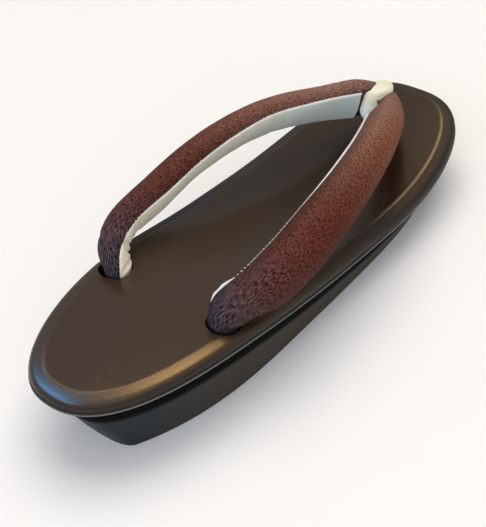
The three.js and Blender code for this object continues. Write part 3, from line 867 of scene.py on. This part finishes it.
LOOP_RINGS = 60
LOOP_SIDES = 48
LOOP_DOME = 0.3
ROOM_START = 0.7
ROOM_PAST = 0.003
ROOM_STATIONS = 90
loop_rows = through_rows(LOOP, np.linspace(0, 1, LOOP_RINGS + 1))
rings = [loop_outline(row, 0, LOOP_SIDES) for row in loop_rows]
peak = rings[-1].mean(0) + (0, 0, LOOP_DOME)
spots = (np.concatenate(rings + [[peak]]) - (0, LENGTH / 2, 0)) * MM
faces = []
for k in range(LOOP_RINGS):
    for i in range(LOOP_SIDES):
        a = k * LOOP_SIDES + i
        b = k * LOOP_SIDES + (i + 1) % LOOP_SIDES
        faces.append((a, b, b + LOOP_SIDES, a + LOOP_SIDES))
last = LOOP_RINGS * LOOP_SIDES
faces += [(last + i, last + (i + 1) % LOOP_SIDES, last + LOOP_SIDES) for i in range(LOOP_SIDES)]
faces.append(tuple(range(LOOP_SIDES))[::-1])
mesh = bpy.data.meshes.new("toe_loop_velvet")
mesh.from_pydata(spots.tolist(), [], faces)
toe_loop = bpy.data.objects.new("toe_loop_velvet", mesh)
bpy.context.scene.collection.objects.link(toe_loop)
toe_loop.data.materials.append(velvet)

# The loop is cut away where the arms and linings pass through it, with a thin gap all round.
room = []
for side in (1, -1):
    cut_share = np.linspace(ROOM_START, 1, ROOM_STATIONS)
    room.append(arm_skin("room", (side,), cut_share, lambda width: width / 2 + GAP, -GAP,
                         lambda cloth, lining: cloth + 2 * GAP, CLOTH_SIDES, CLOTH_FOLDS))
    cut_share = np.linspace(ROOM_START, LINING_END[side] + ROOM_PAST, ROOM_STATIONS)
    taper = lining_taper(side, cut_share)
    room.append(arm_skin("room", (side,), cut_share, lambda width: width / 2, 0.0,
                         lambda cloth, lining: -(lining * taper + 2 * GAP), LINING_SIDES,
                         LINING_FOLDS, sag=LINING_SAG))
cut_away(toe_loop, room)
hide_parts("toe_loop")
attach(toe_loop, "root")

# Studio: a pale floor, a soft sky and three soft boxes that light the sandal evenly. Smaller warm and
# cool panels show only as reflections, and make the gold and blue lines on the heel's edge.
FLOOR_HALF = 6

# Matt white paint, very faintly uneven, so that the sandal's soft shadow is all that shows on it.
floor_paint, tree = new_material("matt_white_floor")
coords = add_node(tree, "ShaderNodeTexCoord", {}, {})
shade = add_node(tree, "ShaderNodeTexNoise", {}, {"Vector": coords.outputs["Object"], "Scale": 2.0})
tone = add_node(tree, "ShaderNodeMix", {"data_type": "RGBA"}, {
    0: shade.outputs["Fac"], 6: linear("#f6f6f6"), 7: linear("#f3f3f3")})
surface = add_node(tree, "ShaderNodeBsdfPrincipled", {}, {
    "Base Color": tone.outputs[2], "Roughness": 0.9, "Specular IOR Level": 0.1})
add_node(tree, "ShaderNodeOutputMaterial", {}, {"Surface": surface.outputs["BSDF"]})
mesh = bpy.data.meshes.new("floor")
corners = [(across * FLOOR_HALF, along * FLOOR_HALF, 0)
           for across, along in ((-1, -1), (1, -1), (1, 1), (-1, 1))]
mesh.from_pydata(corners, [], [(0, 1, 2, 3)])
floor = bpy.data.objects.new("floor", mesh)
bpy.context.scene.collection.objects.link(floor)
floor.data.materials.append(floor_paint)

world = bpy.data.worlds.new("soft_sky")
world.use_nodes = True
world.node_tree.nodes["Background"].inputs["Color"].default_value = linear("#f8f7f4")
world.node_tree.nodes["Background"].inputs["Strength"].default_value = 0.42
bpy.context.scene.world = world

# Each light has its direction, distance in metres, width, height, colour and watts, and whether it
# shines only in reflections.
for name, towards, away, wide, tall, colour, power, shines in (
    ("key_box", (-0.1, 0.2, 0.97), 1.4, 1.2, 1.2, "#fff6ea", 12.5, False),
    ("soft_box", (0.3, -0.8, 0.52), 2.2, 2.0, 1.4, "#e8f0ff", 24.0, False),
    ("low_fill", (0.85, -0.45, 0.14), 2.0, 1.6, 0.5, "#fff8ec", 9.0, False),
    ("warm_panel", (-0.128, 0.325, 0.937), 1.2, 0.18, 0.44, "#ffcb80", 5.4, True),
    ("warm_card", (-0.249, 0.258, 0.934), 1.2, 0.18, 0.18, "#ffcb80", 1.3, True),
    ("window", (-0.607, -0.16, 0.778), 1.31, 0.47, 0.53, "#5cb2f0", 10.2, True),
    ("cool_card", (-0.342, -0.481, 0.807), 1.34, 0.66, 0.4, "#5cb4f0", 9.2, True),
    ("small_lamp", (0.34, -0.12, 0.92), 1.2, 0.5, 0.06, "#ffe8c8", 1.0, True),
):
    light = bpy.data.lights.new(name, "AREA")
    light.shape = "RECTANGLE"
    light.size = wide
    light.size_y = tall
    light.color = linear(colour)[:3]
    light.energy = power
    lamp = bpy.data.objects.new(name, light)
    aim = Vector(towards).normalized()
    lamp.rotation_euler = aim.to_track_quat("Z", "Y").to_euler()
    lamp.location = aim * away
    lamp.visible_diffuse = not shines
    lamp.visible_glossy = shines
    bpy.context.scene.collection.objects.link(lamp)

# Camera: behind the heel on the wearer's right, looking down at the sandal.
LENS_PIXELS = 1160
IMAGE_HEIGHT = 527
SENSOR = 36
EYE = (241.62, -284.32, 332.96)
right = Vector((0.78152, 0.62041, -0.06572))
upward = Vector((-0.36804, 0.54352, 0.75441))
back = Vector((0.50376, -0.5654, 0.65311))
lens = bpy.data.cameras.new("camera")
lens.sensor_width = SENSOR
lens.lens = SENSOR * LENS_PIXELS / IMAGE_HEIGHT
lens.clip_start = 0.01
camera = bpy.data.objects.new("camera", lens)
bpy.context.scene.collection.objects.link(camera)
turn = Matrix((right, upward, back)).transposed().to_4x4()
camera.matrix_world = Matrix.Translation(Vector(EYE) * MM) @ turn
bpy.context.scene.camera = camera
bpy.context.scene.view_settings.view_transform = "Standard"
